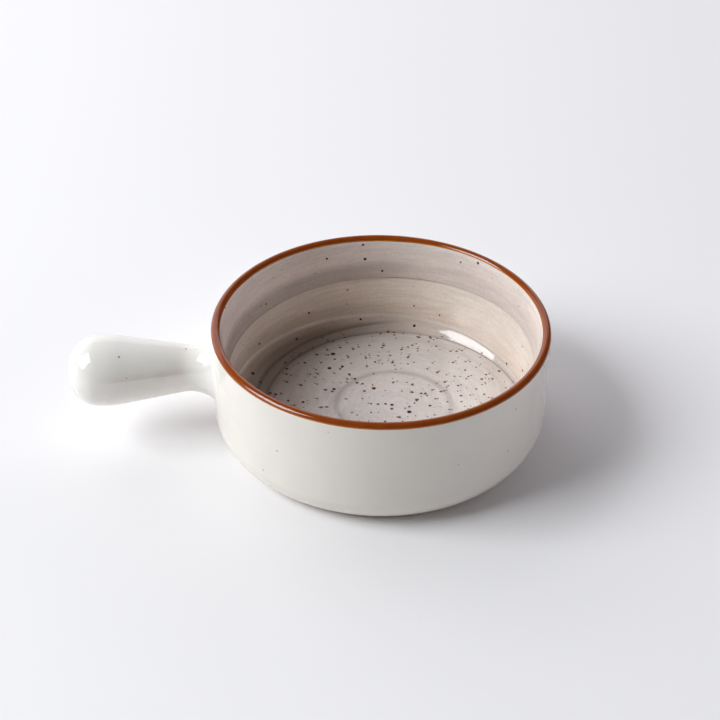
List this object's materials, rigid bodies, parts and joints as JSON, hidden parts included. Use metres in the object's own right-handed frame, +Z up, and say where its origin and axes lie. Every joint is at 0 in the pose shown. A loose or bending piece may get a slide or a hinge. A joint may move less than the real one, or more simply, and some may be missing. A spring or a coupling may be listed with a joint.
{
  "type": "lug soup bowl",
  "caption": "Round stoneware soup bowl with a bulb-ended stick handle, white outside, speckled inside, with a brown-glazed lip and a bare foot ring.",
  "frame": {"origin": "centre of the foot ring, on the plane that the bowl stands on", "axes": "+Z up along the bowl's axis, towards its mouth; the handle points along -X; Y completes a right-handed frame"},
  "size_m": [0.2021, 0.142, 0.0532],
  "materials": {
    "clay": "matt fired stoneware, bare on the foot ring",
    "handle_clay": "matt fired stoneware, under the glaze",
    "slip": "matt fired slip, inside the joint",
    "lining_glaze": "gloss, warm grey, with dark iron speckles",
    "white_glaze": "gloss, warm white",
    "handle_white_glaze": "gloss, warm white",
    "brown_glaze": "gloss, reddish iron brown, orange where it thins at its edges",
    "base_white_glaze": "gloss, warm white"
  },
  "bodies": {
    "root": {"bowl_body": "clay", "handle": "handle_clay", "handle_slip": "slip", "inner_glaze": "lining_glaze", "outer_glaze": "white_glaze", "handle_glaze": "handle_white_glaze", "rim_glaze": "brown_glaze", "base_glaze": "base_white_glaze"}
  },
  "joints": []
}
